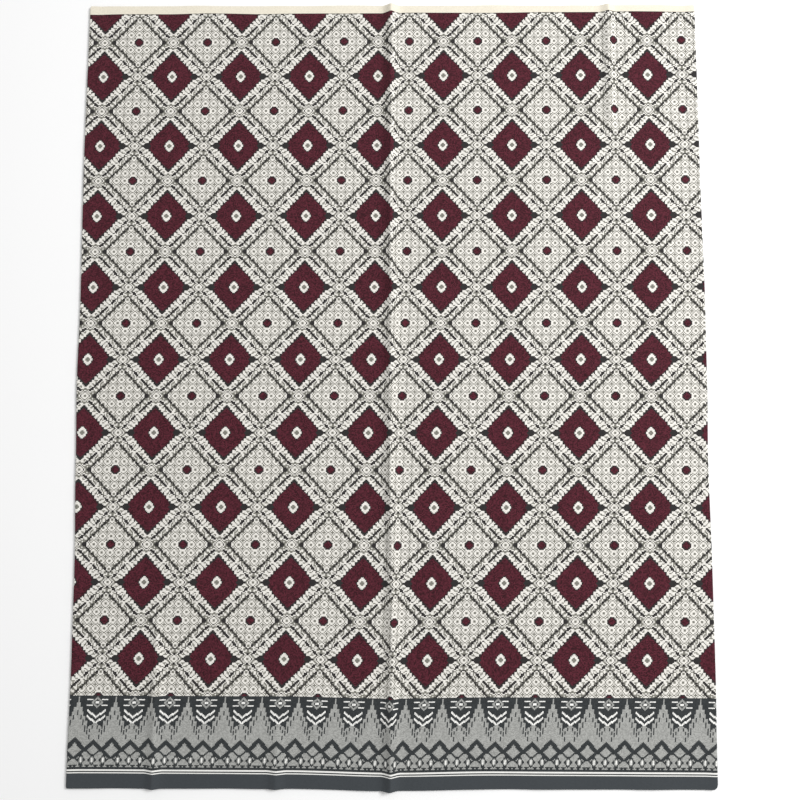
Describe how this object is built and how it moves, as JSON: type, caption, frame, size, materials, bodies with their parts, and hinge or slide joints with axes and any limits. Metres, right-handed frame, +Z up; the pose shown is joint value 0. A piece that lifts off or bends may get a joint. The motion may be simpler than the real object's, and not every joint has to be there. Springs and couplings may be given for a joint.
{
  "type": "batik sarong",
  "caption": "Woven batik-pattern sarong: a sewn tube of cloth laid flat in two layers, with rows of maroon and cream diamonds, a striped hem border and packing creases.",
  "frame": {"origin": "middle of the flat underside of the laid tube, on the surface it lies on", "axes": "+Y from the striped hem to the cream waist selvedge, +X from side fold to side fold, to the right as seen from above with the hem nearest, +Z up"},
  "size_m": [0.9613, 1.2, 0.0112],
  "materials": {
    "patterned_cloth": "matt jacquard-woven cotton blend, cream, maroon and charcoal",
    "seam_allowance": "matt wrong side of the cloth, with overlocked raw edges"
  },
  "bodies": {
    "root": {"tube_cloth": "patterned_cloth", "side_seam": "seam_allowance"}
  },
  "joints": []
}
